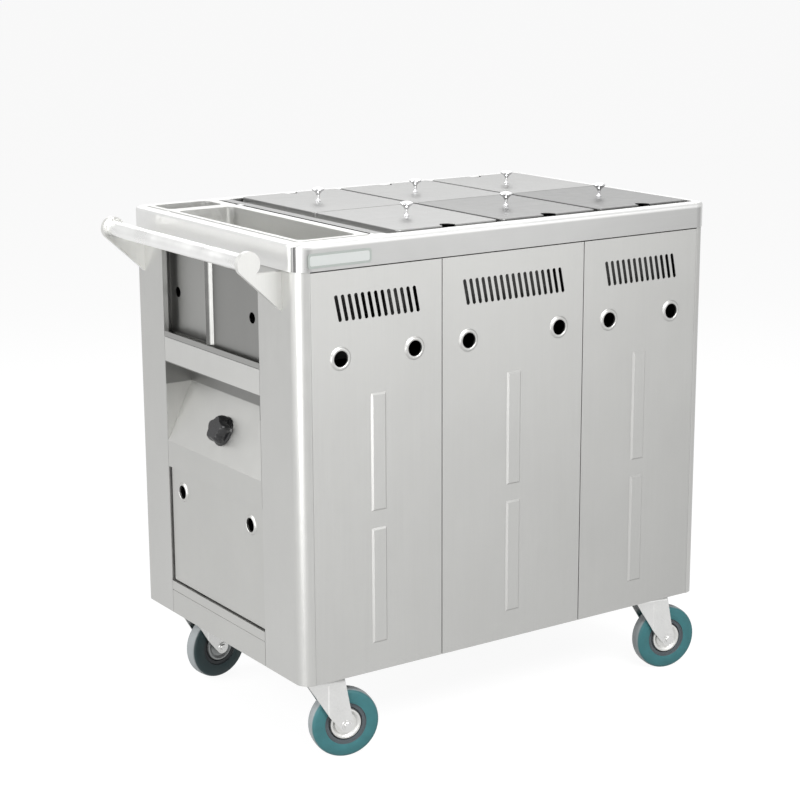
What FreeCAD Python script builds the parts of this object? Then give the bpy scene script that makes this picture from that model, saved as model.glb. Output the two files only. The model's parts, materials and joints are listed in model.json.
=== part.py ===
import FreeCAD, Part
import math
import os

from FreeCAD import Vector as V

# Heated food-serving trolley.  Millimetres, +Z up, long side along X.
# The push bar is at -X, the vented front is -Y, the tyres stand on Z = 0.

# ---- driving dimensions ---------------------------------------------------
XL, XR = -420.2, 483.8          # body faces, left end and right end
YF, YB = -297.0, 297.0          # body faces, front and rear
ZB = 160.0                      # underside of the body
Z_FLOOR = 162.3                 # where the folded edges start, above the floor plate
Z_SKIRT = 885.0                 # lower edge of the deck skirt
Z_DECK = 931.0                  # upper face of the deck
T = 1.5                         # body sheet
R_BODY = 25.0                   # vertical corners of the body
SEAM = 0.6                      # joint between fixed sheets
FIT_GAP = 0.3                   # gap round a sheet that lifts off
EDGE_FOLD = 21.0                # depth of a body sheet's folded edge
DECK_OUT = 3.0                  # deck overhang all round
R_DECK = 31.0                   # vertical corners of the deck
R_BEND = 5.0                    # top bend of the deck
SHADOW = 2.5                    # recess under the deck skirt
SHADOW_WALL = 0.8               # what the recess leaves of the sheet's outer face

# front panels
SEAM_X = (XL + 291.4, XL + 606.5)   # seams between the three panels
PANEL_GAP = 1.6                 # gap between neighbouring panels
PANEL_RETURN = 12.0             # depth of a panel's folded edge
SLOT_COUNT = (13, 17, 13)
SLOT_PITCH = 13.2
SLOT_W = 6.8
SLOT_Z = (795.0, 841.2)
SLOT_LEAN = 9.5                 # how far the top leans to the left
FINGER_D = 28.0
COLLAR_D = 42.0
COLLAR_H = 3.0
FINGER_Z = 732.0
FINGER_HALF = (75.5, 101.0, 75.5)
RIB_W = 31.0
RIB_H = 3.0
RIB_Z = ((213.0, 423.5), (454.5, 664.0))

# left end
STILE_F = -167.0                # inner edge of the front stile
STILE_R = 183.0                 # inner edge of the rear stile
STILE_RETURN = 9.5
RAIL_FOOT = 11.0                # folded foot of the bottom rail
SILL_DEPTH = 36.0               # depth of the lower door's sill
RAIL_LEG = 20.0                 # folded legs of the middle rail
FRAME_DEPTH = 27.0              # depth of the front frame behind the face
Z_SILL_LINE = ZB + 45.4         # groove that marks off the sill
Z_LOW_SILL = 224.0              # lower door opening
Z_LOW_TOP = 451.0
Z_SLOPE = 501.0                 # foot of the sloped panel
Z_SLOPE_TOP = 610.0
SLOPE_DEPTH = 52.5
Z_RECESS = 654.5                # ceiling of the control recess
Z_TRACK = 701.0                 # underside of the lower door track
Z_UP_SILL = 711.0
Z_UP_TOP = 865.0
Z_TRACK_TOP = Z_UP_TOP + 11.0   # underside of the upper track
DOOR_F_X = 11.0                 # front sliding door, depth behind the face
DOOR_R_X = 24.0                 # rear sliding door
DOOR_T = 1.5
DOOR_GAP = 0.6                  # above and below a sliding door in its channels
PULL_OUT = 10.0                 # bent edge of the front sliding door
TRACK_X = 28.0                  # depth of the twin channels
BULKHEAD_X = 196.0              # depth of the two compartments
LINER_T = 1.2
LIFT_GAP = 0.3                  # gap between parts that lift apart
DOOR_Y_F = (YF + 118.0, YF + 309.0)   # sliding doors, front and rear edges
DOOR_Y_R = (YF + 296.0, YF + 492.0)
TRACK_Y = (YF + 95.0, YF + 501.0)     # ends of the channels behind the stiles
SLIDE_HOLE_D = 20.0             # finger hole of a sliding door
SLIDE_HOLE_Z = 783.0
DOOR_HOLE_D = 26.0              # finger holes of the lower door
DOOR_COLLAR_D = 38.0
DOOR_COLLAR_H = 2.8
DOOR_HOLE_HALF = 126.5
DOOR_HOLE_Z = 410.0

# deck openings
BIN_HOLE = (XL + 28.0, XL + 171.5, YF + 38.0, YF + 568.0)
BIN_CROSS = (YF + 478.0, YF + 492.0)  # strip of the deck between the two bins
BIN_X = (XL + 30.0, XL + 143.0)       # inside of the bins
BIN_FLANGE_X = (XL + 20.0, XL + 168.0)
BIN_LAP, BIN_MEET = 10.0, 15.3        # flange past the inside, at the ends and at the strip
BIN_FRONT = (YF + 40.0, YF + 469.0)
BIN_REAR = (YF + 501.0, YF + 566.0)
WELL_HOLE = (XL + 194.0, XL + 890.0, YF + 24.0, YF + 570.0)
LEDGE_IN = (XL + 222.0, XL + 875.0, YF + 34.0, YF + 560.0)
Z_LEDGE = 920.0
COL_X = (XL + 212.0, XL + 437.75, XL + 660.25, XL + 884.0)
ROW_Y = (YF + 26.0, YF + 297.0, YF + 568.0)
LID_X = (XL + 219.0, XL + 442.0, XL + 665.0)
LID_L = 214.0
LID_Y = (YF + 29.0, YF + 299.0)
LID_W = 265.5
LID_R = 8.0                     # corners of a lid
Z_LID = 934.0
KNOB_OFF = ((2.0, 0.0), (-21.0, -8.0))  # knob from the lid's middle, front and rear row
NOTCH_HALF, NOTCH_DEEP = 14.0, 20.0   # half-oval ladle notch in a lid's outer edge
PAN_DEPTH = 150.0
PAN_FLANGE = 12.0
PAN_DRAFT = 6.0                 # how far each wall leans in over the depth
BIN_DEPTH = 100.0
CURB_H = 9.0                    # folded edge under the bin opening
WELL_R, BIN_R = 6.0, 12.0       # corners of the two openings
LEDGE_R = 14.0                  # inner corners of the ledge
BIN_T, PAN_T, LID_T = 1.0, 1.0, 1.0   # sheets of the bins, pans and lids
FLANGE_R = 10.0                 # corners of a pan's flange
PAN_R = 22.0                    # upright corners inside a pan
KNOB_TALL = 27.0                # height of a lid knob
TANK = (XL + 202.0, XL + 884.0, YF + 30.0, YF + 564.0)
TANK_Z = 745.0                  # underside of the tank
TANK_T, TANK_R, TANK_BEND = 1.2, 30.0, 14.0

# push bar
BAR_D = 28.0
BAR_X, BAR_Z = XL - 61.5, 899.0
BAR_WALL = 1.5
NOSE_R = 21.5                   # round end of a cheek about the bar
CHEEK_LOW, CHEEK_TOP = 814.0, 882.0
CHEEK_Y = (YF + 50.0, YF + 549.0)
CHEEK_T = 2.5
CHEEK_RIM = 10.0

# casters
WHEEL_R = 63.5
WHEEL_HALF = 16.0
HUB_R = 29.0
TRAIL = 36.0
AXLE_Z = WHEEL_R
AXLE_R = 5.0
PIN_R = 7.0
RUN_FIT = 0.05
PLATE_T = 3.0                   # mounting plate
PLATE_HALF = (46.0, 36.0)       # half its length and width
RACE_R = 31.0                   # bearing race above the fork
FORK_TOP = ZB - 9.0             # upper face of the fork's crown
FORK_HALF = 23.0
FORK_T = 3.0
FORK_BEND = 6.0
FORK_BACK, FORK_FRONT = -38.0, 33.0
CROWN_BAND = 9.0                # height of the bent crown above the legs
PRESS_X = 2.5                   # crease between a leg's strip and its gusset
PRESS_IN = 1.2                  # the gusset stands in from the strip
BOSS_R = 13.0
CASTERS = (
    ("front_left", XL + 69.0, YF + 48.0, -14.0),
    ("front_right", XR - 80.0, YF + 49.0, -12.0),
    ("rear_left", XL + 69.0, YB - 91.0, 8.0),
    ("rear_right", XR - 80.0, YB - 91.0, -7.0),
)

# control knob
KNOB_Z = 551.0
KNOB_Y = YF + 305.5
KNOB_R = 27.0
KNOB_H = 23.0
LOBES, LOBE_DEEP = 5, 2.6       # grips round the knob
SPINDLE_R, BUSH_R = 3.0, 5.95


# ---- small shape helpers --------------------------------------------------
def box(x0, x1, y0, y1, z0, z1):
    return Part.makeBox(x1 - x0, y1 - y0, z1 - z0, V(x0, y0, z0))


def rounded(x0, x1, y0, y1, z0, z1, r):
    """Upright prism with rounded vertical corners."""
    pts = [V(x0 + r, y0, z0), V(x1 - r, y0, z0), V(x1, y0 + r, z0), V(x1, y1 - r, z0)]
    pts += [V(x1 - r, y1, z0), V(x0 + r, y1, z0), V(x0, y1 - r, z0), V(x0, y0 + r, z0)]
    k = r * (1.0 - math.sqrt(0.5))
    mids = [V(x1 - k, y0 + k, z0), V(x1 - k, y1 - k, z0)]
    mids += [V(x0 + k, y1 - k, z0), V(x0 + k, y0 + k, z0)]
    edges = []
    for i in range(4):
        a, b, c = pts[2 * i], pts[2 * i + 1], pts[(2 * i + 2) % 8]
        edges.append(Part.makeLine(a, b))
        edges.append(Part.Arc(b, mids[i], c).toShape())
    return Part.Face(Part.Wire(edges)).extrude(V(0, 0, z1 - z0))


def grown(hole, by, z0, z1, r):
    """Upright block over an opening (x0, x1, y0, y1), wider by so much all round."""
    x0, x1, y0, y1 = hole
    return rounded(x0 - by, x1 + by, y0 - by, y1 + by, z0, z1, r)


def polygon(points, vec):
    """Closed polygon through 3-D points, extruded."""
    return Part.Face(Part.makePolygon(points + [points[0]])).extrude(vec)


def strip(points, t):
    """Outline of a folded sheet: a polyline thickened to its right by t."""
    n = len(points)
    inner = []
    for i in range(n):
        dirs = []
        if i > 0:
            dirs.append(_unit(points[i - 1], points[i]))
        if i < n - 1:
            dirs.append(_unit(points[i], points[i + 1]))
        norms = [(d[1], -d[0]) for d in dirs]
        sx = sum(m[0] for m in norms)
        sy = sum(m[1] for m in norms)
        length = math.hypot(sx, sy)
        mx, my = sx / length, sy / length
        scale = t / (mx * norms[0][0] + my * norms[0][1])
        inner.append((points[i][0] + mx * scale, points[i][1] + my * scale))
    return list(points) + inner[::-1]


def _unit(a, b):
    dx, dy = b[0] - a[0], b[1] - a[1]
    d = math.hypot(dx, dy)
    return (dx / d, dy / d)


def fold_xz(points, t, y0, y1):
    """Folded sheet drawn in X-Z and run along Y."""
    outline = [V(x, y0, z) for x, z in strip(points, t)]
    return polygon(outline, V(0, y1 - y0, 0))


def fuse(shapes):
    out = shapes[0].fuse(shapes[1:])
    return out.removeSplitter()


def trim_top(shape):
    """Clear the sheets from the inside of the deck's top bend."""
    g = 2.5
    z_bend = Z_DECK - T - R_BEND
    outer = rounded(XL - g, XR + g, YF - g, YB + g, z_bend, Z_DECK, R_BODY + g)
    inner = rounded(XL + g, XR - g, YF + g, YB - g, z_bend - 1, Z_DECK + 1, R_BODY - g)
    return shape.cut(outer.cut(inner))


def save(shape, name):
    solid = shape.Solids[0] if len(shape.Solids) == 1 else shape
    solid.exportStep("parts/" + name + ".step")


# ---- body sheets ----------------------------------------------------------
def body_ring():
    """Full-height sheet ring of the body with the recess under the skirt."""
    outer = rounded(XL, XR, YF, YB, ZB, Z_DECK - T, R_BODY)
    inner = rounded(XL + T, XR - T, YF + T, YB - T, ZB - 1, Z_DECK, R_BODY - T)
    ring = outer.cut(inner)
    s = SHADOW_WALL
    band = rounded(XL - 5, XR + 5, YF - 5, YB + 5, Z_SKIRT - SHADOW, Z_SKIRT, R_BODY + 5)
    core = rounded(XL + s, XR - s, YF + s, YB - s, ZB, Z_DECK, R_BODY - s)
    return ring.cut(band.cut(core))


def corner_stile_front(ring):
    """Round front corner with the flat stile of the left end."""
    xe = XL + R_BODY
    keep = box(XL - 1, xe - SEAM / 2, YF - 1, STILE_F, ZB - 1, Z_DECK)
    side = box(XL, XL + STILE_RETURN, STILE_F - T, STILE_F, ZB, Z_DECK - T)
    front = box(xe - SEAM / 2 - T, xe - SEAM / 2, YF, YF + EDGE_FOLD, Z_FLOOR, Z_DECK - T)
    return trim_top(fuse([ring.common(keep), side, front]))


def corner_stile_rear(ring):
    """Round rear corner with the flat stile of the left end."""
    xe = XL + R_BODY
    keep = box(XL - 1, xe - SEAM / 2, STILE_R, YB + 1, ZB - 1, Z_DECK)
    side = box(XL, XL + STILE_RETURN, STILE_R, STILE_R + T, ZB, Z_DECK - T)
    rear = box(xe - SEAM / 2 - T, xe - SEAM / 2, YB - EDGE_FOLD, YB, Z_FLOOR, Z_DECK - T)
    return trim_top(fuse([ring.common(keep), side, rear]))


def right_end_panel(ring):
    """One sheet round both right corners, its edges folded inwards."""
    x0 = XR - R_BODY + SEAM / 2
    keep = box(x0, XR + 1, YF - 1, YB + 1, ZB - 1, Z_DECK)
    parts = [ring.common(keep)]
    for y0 in (YF, YB - EDGE_FOLD):
        parts.append(box(x0, x0 + T, y0, y0 + EDGE_FOLD, Z_FLOOR, Z_DECK - T))
    return trim_top(fuse(parts))


def rear_panel(ring):
    """One flat sheet across the rear."""
    keep = box(XL + R_BODY + SEAM / 2, XR - R_BODY - SEAM / 2, 0, YB + 1, ZB - 1, Z_DECK)
    return trim_top(ring.common(keep))


def base_pan():
    """Floor of the body with folded-up edges inside the sheets."""
    gap, floor, rim, above = 0.2, 2.0, 24.0, 30.0
    g = T + gap
    i = g + floor
    outer = rounded(XL + g, XR - g, YF + g, YB - g, ZB, ZB + rim, R_BODY - g)
    inner = rounded(XL + i, XR - i, YF + i, YB - i, ZB + floor, ZB + above, R_BODY - i)
    pan = outer.cut(inner)
    wide, deep = T + 1.6, EDGE_FOLD + 1.0     # clear of the sheets' folded edges
    z0, z1 = ZB + floor, ZB + above
    cuts = []
    for x in (XL + R_BODY - 2.6, XR - R_BODY - 0.5):
        cuts.append(box(x, x + wide, YF, YF + deep, z0, z1))
        cuts.append(box(x, x + wide, YB - deep, YB, z0, z1))
    x_in, y_in = R_BODY - 2.0, FRAME_DEPTH + 2.0
    cuts.append(box(XL + x_in, XR - x_in, YF, YF + y_in, ZB - 1, z1))
    cuts.append(box(XL, XL + RAIL_FOOT + gap, STILE_F - 2, STILE_R + 2, ZB - 1, z1))
    return pan.cut(Part.makeCompound(cuts))


def front_frame():
    """Posts behind the seams, head and foot that the front panels seat on."""
    y0, y1 = YF + PANEL_RETURN + 0.5, YF + FRAME_DEPTH
    x0, x1 = XL + R_BODY + 0.2, XR - R_BODY - 0.2
    y_face = YF + 4.0
    z_foot, z_head, lip = ZB + 3.0, Z_SKIRT - 1.0, 27.0
    half = 15.0
    parts = [box(x0, x1, y0, y1 + 2, ZB, z_foot)]
    parts.append(box(x0, x1, y0, y0 + T, z_foot, z_foot + lip))
    parts.append(box(x0, x1, y_face, y1, z_head, z_head + T))
    parts.append(box(x0, x1, y_face, y_face + T, z_head, Z_DECK - T))
    parts.append(box(x0, x1, y0, y0 + T, z_head - lip, z_head))
    for x in SEAM_X:
        post = box(x - half, x + half, y0, y1, z_foot, z_head)
        w = half - T
        parts.append(post.cut(box(x - w, x + w, y0 + T, y1 + 1, z_foot + T, z_head - T)))
    return fuse(parts)


# ---- vented front panels --------------------------------------------------
def rib(x, z0, z1, y, w, h):
    """Solid under one embossed rib, tapering outward to a flat top."""
    def ring(grow, depth):
        a, b = x - w / 2 + grow, x + w / 2 - grow
        p = [V(a, depth, z0 + grow), V(b, depth, z0 + grow)]
        p += [V(b, depth, z1 - grow), V(a, depth, z1 - grow)]
        return Part.makePolygon(p + [p[0]])
    return Part.makeLoft([ring(0, y), ring(h * 1.1, y - h)], True, True)


def louvre(x, y0, y1):
    """One slanted slot with round ends."""
    z0, z1 = SLOT_Z[0] + SLOT_W / 2, SLOT_Z[1] - SLOT_W / 2
    lean = math.atan2(SLOT_LEAN, SLOT_Z[1] - SLOT_Z[0])
    dx = (z1 - z0) * math.tan(lean) / 2
    r = SLOT_W / 2
    ox, oz = r * math.cos(lean), r * math.sin(lean)
    a, b = V(x + dx, y0, z0), V(x - dx, y0, z1)
    side = V(ox, 0, oz)
    tip = V(-math.sin(lean) * r, 0, math.cos(lean) * r)
    edges = [Part.makeLine(a + side, b + side)]
    edges.append(Part.Arc(b + side, b + tip, b - side).toShape())
    edges.append(Part.makeLine(b - side, a - side))
    edges.append(Part.Arc(a - side, a - tip, a + side).toShape())
    return Part.Face(Part.Wire(edges)).extrude(V(0, y1 - y0, 0))


def collar(hole_d, outer_d, h):
    """Pressed ring round a finger hole, revolved about Y with its face at Y = 0."""
    r0, r1 = hole_d / 2, outer_d / 2
    p = [V(r0, 0.5, 0), V(r0, -h * 0.7, 0), V(r1 - 1.2, -0.9, 0), V(r1, 0, 0), V(r1, 0.5, 0)]
    edges = [Part.makeLine(p[0], p[1])]
    edges.append(Part.Arc(p[1], V((r0 + r1) / 2 - 0.8, -h, 0), p[2]).toShape())
    edges += [Part.makeLine(p[2], p[3]), Part.makeLine(p[3], p[4]), Part.makeLine(p[4], p[0])]
    return Part.Face(Part.Wire(edges)).revolve(V(0, 0, 0), V(0, 1, 0), 360)


def front_panel(index):
    """Lift-off tray with louvres, two collared holes and two embossed ribs."""
    end = R_BODY - SEAM / 2 + FIT_GAP
    x_edges = (XL + end, SEAM_X[0], SEAM_X[1], XR - end)
    g0 = 0.0 if index == 0 else PANEL_GAP / 2
    g1 = 0.0 if index == 2 else PANEL_GAP / 2
    x0, x1 = x_edges[index] + g0, x_edges[index + 1] - g1
    z0, z1 = ZB + 0.5, Z_SKIRT - SHADOW
    xc = (x0 + x1) / 2
    tray = box(x0, x1, YF, YF + PANEL_RETURN, z0, z1)
    tray = tray.cut(box(x0 + T, x1 - T, YF + T, YF + PANEL_RETURN + 1, z0 + T, z1 - T))
    adds, cuts = [], []
    for zr0, zr1 in RIB_Z:
        adds.append(rib(xc, zr0, zr1, YF, RIB_W, RIB_H))
        cuts.append(rib(xc, zr0 + T, zr1 - T, YF + T, RIB_W - 2 * T, RIB_H))
    for s in (-1, 1):
        x = xc + s * FINGER_HALF[index]
        ring = collar(FINGER_D, COLLAR_D, COLLAR_H)
        ring.translate(V(x, YF, FINGER_Z))
        adds.append(ring)
        hole = Part.makeCylinder(FINGER_D / 2, 40, V(x, YF - 20, FINGER_Z), V(0, 1, 0))
        cuts.append(hole)
    n = SLOT_COUNT[index]
    for i in range(n):
        cuts.append(louvre(xc + (i - (n - 1) / 2) * SLOT_PITCH, YF - 1, YF + T + 1))
    return fuse([tray] + adds).cut(Part.makeCompound(cuts))


# ---- deck, bins, well -----------------------------------------------------
def top_deck():
    """Skirted deck with an opening for the bins and an upstand round the pan well."""
    x0, x1 = XL - DECK_OUT, XR + DECK_OUT
    y0, y1 = YF - DECK_OUT, YB + DECK_OUT
    outer = rounded(x0, x1, y0, y1, Z_SKIRT, Z_DECK, R_DECK)
    top = [e for e in outer.Edges if e.BoundBox.ZMin > Z_DECK - 0.01]
    outer = outer.makeFillet(R_BEND, top)
    inner = rounded(x0 + T, x1 - T, y0 + T, y1 - T, Z_SKIRT - 5, Z_DECK - T, R_DECK - T)
    top = [e for e in inner.Edges if e.BoundBox.ZMin > Z_DECK - T - 0.01]
    inner = inner.makeFillet(R_BEND - T, top)
    deck = outer.cut(inner)
    well = grown(WELL_HOLE, T, Z_LEDGE, Z_DECK - T, WELL_R + T)
    curb = grown(BIN_HOLE, T, Z_DECK - CURB_H, Z_DECK - T, BIN_R + T)
    deck = fuse([deck, well, curb])
    deck = deck.cut(grown(WELL_HOLE, 0, Z_LEDGE - 1, Z_DECK + 1, WELL_R))
    deck = deck.cut(grown(BIN_HOLE, 0, Z_DECK - CURB_H - 1, Z_DECK + 1, BIN_R))
    bx0, bx1 = BIN_HOLE[:2]
    cy0, cy1 = BIN_CROSS
    cross = box(bx0, bx1, cy0, cy1, Z_DECK - CURB_H, Z_DECK)
    cross = cross.cut(box(bx0, bx1, cy0 + T, cy1 - T, Z_DECK - CURB_H, Z_DECK - T))
    return fuse([deck, cross])


def bin_tray(span, flange_front, flange_rear):
    """Open drop-in bin whose flange lies on the deck."""
    t = BIN_T
    zt = Z_DECK + LIFT_GAP + t
    zb = zt - BIN_DEPTH
    x0, x1 = BIN_X
    y0, y1 = span
    fx0, fx1 = BIN_FLANGE_X
    flange = rounded(fx0, fx1, y0 - flange_front, y1 + flange_rear, zt - t, zt, BIN_R / 2)
    tub = rounded(x0 - t, x1 + t, y0 - t, y1 + t, zb, zt - t / 2, BIN_R + t)
    low = [e for e in tub.Edges if e.BoundBox.ZMax < zb + 0.01]
    tub = tub.makeFillet(BIN_R - 3, low)
    room = rounded(x0, x1, y0, y1, zb + t, zt + t, BIN_R)
    low = [e for e in room.Edges if e.BoundBox.ZMax < zb + t + 0.01]
    room = room.makeFillet(BIN_R - 4, low)
    return fuse([flange, tub]).cut(room)


def drafted(x0, x1, y0, y1, z0, z1, r, inset):
    """Upright block with round corners, drawn in by inset towards its lower end."""
    cones = []
    for x in (x0 + r, x1 - r):
        for y in (y0 + r, y1 - r):
            cones.append(Part.makeCone(r - inset, r, z1 - z0, V(x, y, z0)))
    a = [V(x0 + inset, y0 + r, z0), V(x1 - inset, y0 + r, z0), V(x1, y0 + r, z1), V(x0, y0 + r, z1)]
    b = [V(x0 + r, y0 + inset, z0), V(x0 + r, y1 - inset, z0), V(x0 + r, y1, z1), V(x0 + r, y0, z1)]
    wide = polygon(a, V(0, y1 - y0 - 2 * r, 0))
    deep = polygon(b, V(x1 - x0 - 2 * r, 0, 0))
    return fuse([wide, deep] + cones)


def pan(col, row):
    """Deep food pan with drafted walls and a flat flange."""
    x0, x1 = COL_X[col] + 1, COL_X[col + 1] - 1
    y0, y1 = ROW_Y[row] + 1, ROW_Y[row + 1] - 1
    zf = Z_LEDGE + LIFT_GAP
    zt = zf + PAN_T
    e, t, r = PAN_FLANGE, PAN_T, PAN_R
    flange = rounded(x0, x1, y0, y1, zf, zt, FLANGE_R)
    outer = drafted(x0 + e - t, x1 - e + t, y0 + e - t, y1 - e + t, zt - PAN_DEPTH, zt - 0.5,
                    r + t, PAN_DRAFT)
    inner = drafted(x0 + e, x1 - e, y0 + e, y1 - e, zt - PAN_DEPTH + t, zt + 0.5, r, PAN_DRAFT)
    return fuse([flange, outer]).cut(inner)


def lid(col, row):
    """Plate with a short folded edge and a half-oval ladle notch."""
    x0, y0 = LID_X[col], LID_Y[row]
    x1, y1 = x0 + LID_L, y0 + LID_W
    t, bend = LID_T, 1.5
    zb = Z_LEDGE + 2 * LIFT_GAP + PAN_T
    outer = rounded(x0, x1, y0, y1, zb, Z_LID, LID_R)
    top = [e for e in outer.Edges if e.BoundBox.ZMin > Z_LID - 0.01]
    outer = outer.makeFillet(bend, top)
    shell = outer.cut(rounded(x0 + t, x1 - t, y0 + t, y1 - t, zb - 1, Z_LID - t, LID_R - t))
    xc = (x0 + x1) / 2
    edge = y0 if row == 0 else y1
    oval = Part.Ellipse(V(0, 0, zb - 1), NOTCH_DEEP, NOTCH_HALF)
    notch = Part.Face(Part.Wire(oval.toShape())).extrude(V(0, 0, Z_LID - zb + 2))
    notch.rotate(V(0, 0, 0), V(0, 0, 1), 90)
    notch.translate(V(xc, edge, 0))
    return shell.cut(notch)


def lid_knob(col, row):
    """Turned mushroom knob."""
    h, r, r_mid, r_widest = KNOB_TALL, 11.2, 6.0, 12.1
    dome, foot, foot_h = 24.6, 5.0, 1.6
    z_rim = h - dome + math.sqrt(dome * dome - r * r)
    z_mid = h - dome + math.sqrt(dome * dome - r_mid * r_mid)
    neck = [(2.9, 3.2), (2.6, 7.5), (3.2, 12.0), (6.5, 16.5), (11.4, 20.8)]
    neck = [V(a, 0, b) for a, b in neck]
    curve = Part.BSplineCurve()
    curve.interpolate(neck)
    edge, rim, tip = V(foot, 0, 0), V(r, 0, z_rim), V(0, 0, h)
    edges = [Part.makeLine(V(0, 0, 0), edge), Part.makeLine(edge, V(foot, 0, foot_h))]
    edges.append(Part.makeLine(V(foot, 0, foot_h), neck[0]))
    edges.append(curve.toShape())
    edges.append(Part.Arc(neck[-1], V(r_widest, 0, neck[-1].z + 1.8), rim).toShape())
    edges.append(Part.Arc(rim, V(r_mid, 0, z_mid), tip).toShape())
    edges.append(Part.makeLine(tip, V(0, 0, 0)))
    knob = Part.Face(Part.Wire(edges)).revolve(V(0, 0, 0), V(0, 0, 1), 360)
    dx, dy = KNOB_OFF[row]
    knob.translate(V(LID_X[col] + LID_L / 2 + dx, LID_Y[row] + LID_W / 2 + dy, Z_LID))
    return knob


def pan_support_grid():
    """Ledge under the deck's upstand, with channel bars between the pans."""
    lx0, lx1, ly0, ly1 = LEDGE_IN
    half, vent = 6.0, 7.0
    z0 = Z_LEDGE - 8.0
    ledge = grown(WELL_HOLE, T, Z_LEDGE - T, Z_LEDGE, WELL_R + T)
    ledge = ledge.cut(grown(LEDGE_IN, 0, Z_LEDGE - T, Z_LEDGE, LEDGE_R))
    bars, hollows = [], []
    for x in COL_X[1:3]:
        bars.append(box(x - half, x + half, ly0, ly1, z0, Z_LEDGE))
        hollows.append(box(x - half + T, x + half - T, ly0, ly1, z0, Z_LEDGE - T))
    y = ROW_Y[1]
    bars.append(box(lx0, lx1, y - half, y + half, z0, Z_LEDGE))
    hollows.append(box(lx0, lx1, y - half + T, y + half - T, z0, Z_LEDGE - T))
    grid = fuse(bars).cut(Part.makeCompound(hollows))
    vents = []
    for x in (COL_X[0] - 4, COL_X[1], COL_X[2], COL_X[3]):
        vents.append(box(x - vent, x + vent, ly1 + 2, WELL_HOLE[3] - 1, Z_LEDGE - T, Z_LEDGE))
    return fuse([ledge, grid]).cut(Part.makeCompound(vents))


def well_tank():
    """Water tank under the pans, open at the top."""
    z0, z1, t = TANK_Z, Z_LEDGE - T, TANK_T
    outer = grown(TANK, 0, z0, z1, TANK_R)
    low = [e for e in outer.Edges if e.BoundBox.ZMax < z0 + 0.01]
    outer = outer.makeFillet(TANK_BEND, low)
    inner = grown(TANK, -t, z0 + t, z1 + 5, TANK_R - t)
    low = [e for e in inner.Edges if e.BoundBox.ZMax < z0 + t + 0.01]
    inner = inner.makeFillet(TANK_BEND - t, low)
    return outer.cut(inner)


def heating_element():
    """Serpentine tube heater on two feet above the tank floor."""
    z_floor = TANK_Z + TANK_T
    r, rod, runs, foot = 45.0, 4.0, 6, 3.0
    z = z_floor + 10.8
    x0, x1 = TANK[0] + 88.0, TANK[1] - 84.0
    ys = [ROW_Y[1] + (i - (runs - 1) / 2) * 2 * r for i in range(runs)]
    parts = [Part.makeCylinder(rod, x1 - x0, V(x0, y, z), V(1, 0, 0)) for y in ys]
    for i in range(runs - 1):
        side = 1 if i % 2 == 0 else -1
        at = x1 if side == 1 else x0
        ring = Part.Face(Part.Wire(Part.makeCircle(rod, V(at, ys[i], z), V(1, 0, 0))))
        parts.append(ring.revolve(V(at, ys[i] + r, z), V(0, 0, 1), 180 * side))
    for x in (x0 + 70.0, x1 - 80.0):
        parts.append(box(x, x + foot, ys[0] - 12, ys[-1] + 12, z_floor, z - rod / 2))
    return fuse(parts)


# ---- push bar -------------------------------------------------------------
def handle_tube():
    """Straight tube between the cheeks."""
    y0, y1 = CHEEK_Y[0] + CHEEK_T, CHEEK_Y[1]
    at, r = V(BAR_X, y0, BAR_Z), BAR_D / 2
    tube = Part.makeCylinder(r, y1 - y0, at, V(0, 1, 0))
    return tube.cut(Part.makeCylinder(r - BAR_WALL, y1 - y0, at, V(0, 1, 0)))


def cheek_outline(y, inset, past):
    """Rounded nose, straight lower edge down to the body, level top edge."""
    r = NOSE_R - inset
    z_low, z_top = CHEEK_LOW + inset * 1.35, CHEEK_TOP - inset
    cx, cz = BAR_X, BAR_Z
    px, pz = XL + past, z_low - past * 0.9
    d = math.hypot(px - cx, pz - cz)
    a = math.atan2(pz - cz, px - cx)
    b = math.acos(r / d)
    t = a - b
    tx, tz = cx + r * math.cos(t), cz + r * math.sin(t)
    q = math.asin((z_top - cz) / r)
    qx, qz = cx + r * math.cos(q), cz + r * math.sin(q)
    edges = [Part.makeLine(V(px, y, pz), V(tx, y, tz))]
    edges.append(Part.Arc(V(tx, y, tz), V(cx - r * 0.6, y, cz + r * 0.8), V(qx, y, qz)).toShape())
    edges.append(Part.makeLine(V(qx, y, qz), V(px, y, qz)))
    edges.append(Part.makeLine(V(px, y, qz), V(px, y, pz)))
    return Part.Face(Part.Wire(edges))


def handle_cheek(y):
    """Pressed cheek plate: flat face towards the front, rim turned back."""
    rim_t, past = 2.0, 6.0
    plate = cheek_outline(y, 0.0, 0.0).extrude(V(0, CHEEK_RIM, 0))
    pocket = cheek_outline(y + CHEEK_T, rim_t, past).extrude(V(0, CHEEK_RIM, 0))
    return plate.cut(pocket)


# ---- left end -------------------------------------------------------------
def header_rail(ring):
    """Rail over the sliding doors, its head stepped in clear of the deck's bend."""
    y0, y1 = STILE_F + SEAM, STILE_R - SEAM
    z_bend, step = Z_DECK - T - R_BEND, 6.0
    keep = box(XL - 1, XL + 20, y0, y1, Z_UP_TOP, z_bend)
    parts = [ring.common(keep)]
    parts.append(box(XL, XL + 8, y0, y1, Z_UP_TOP, Z_UP_TOP + T))
    parts.append(box(XL, XL + step, y0, y1, z_bend - T, z_bend))
    parts.append(box(XL + step - T, XL + step, y0, y1, z_bend - T, Z_DECK - T))
    return fuse(parts)


def middle_rail():
    """Plain rail between the control recess and the sliding doors."""
    y0, y1 = STILE_F + SEAM, STILE_R - SEAM
    z0, z1 = Z_RECESS + 0.2, Z_TRACK - 0.8
    p = [(XL + RAIL_LEG, z0), (XL, z0), (XL, z1), (XL + RAIL_LEG, z1)]
    return fold_xz(p, T, y0, y1)


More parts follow.
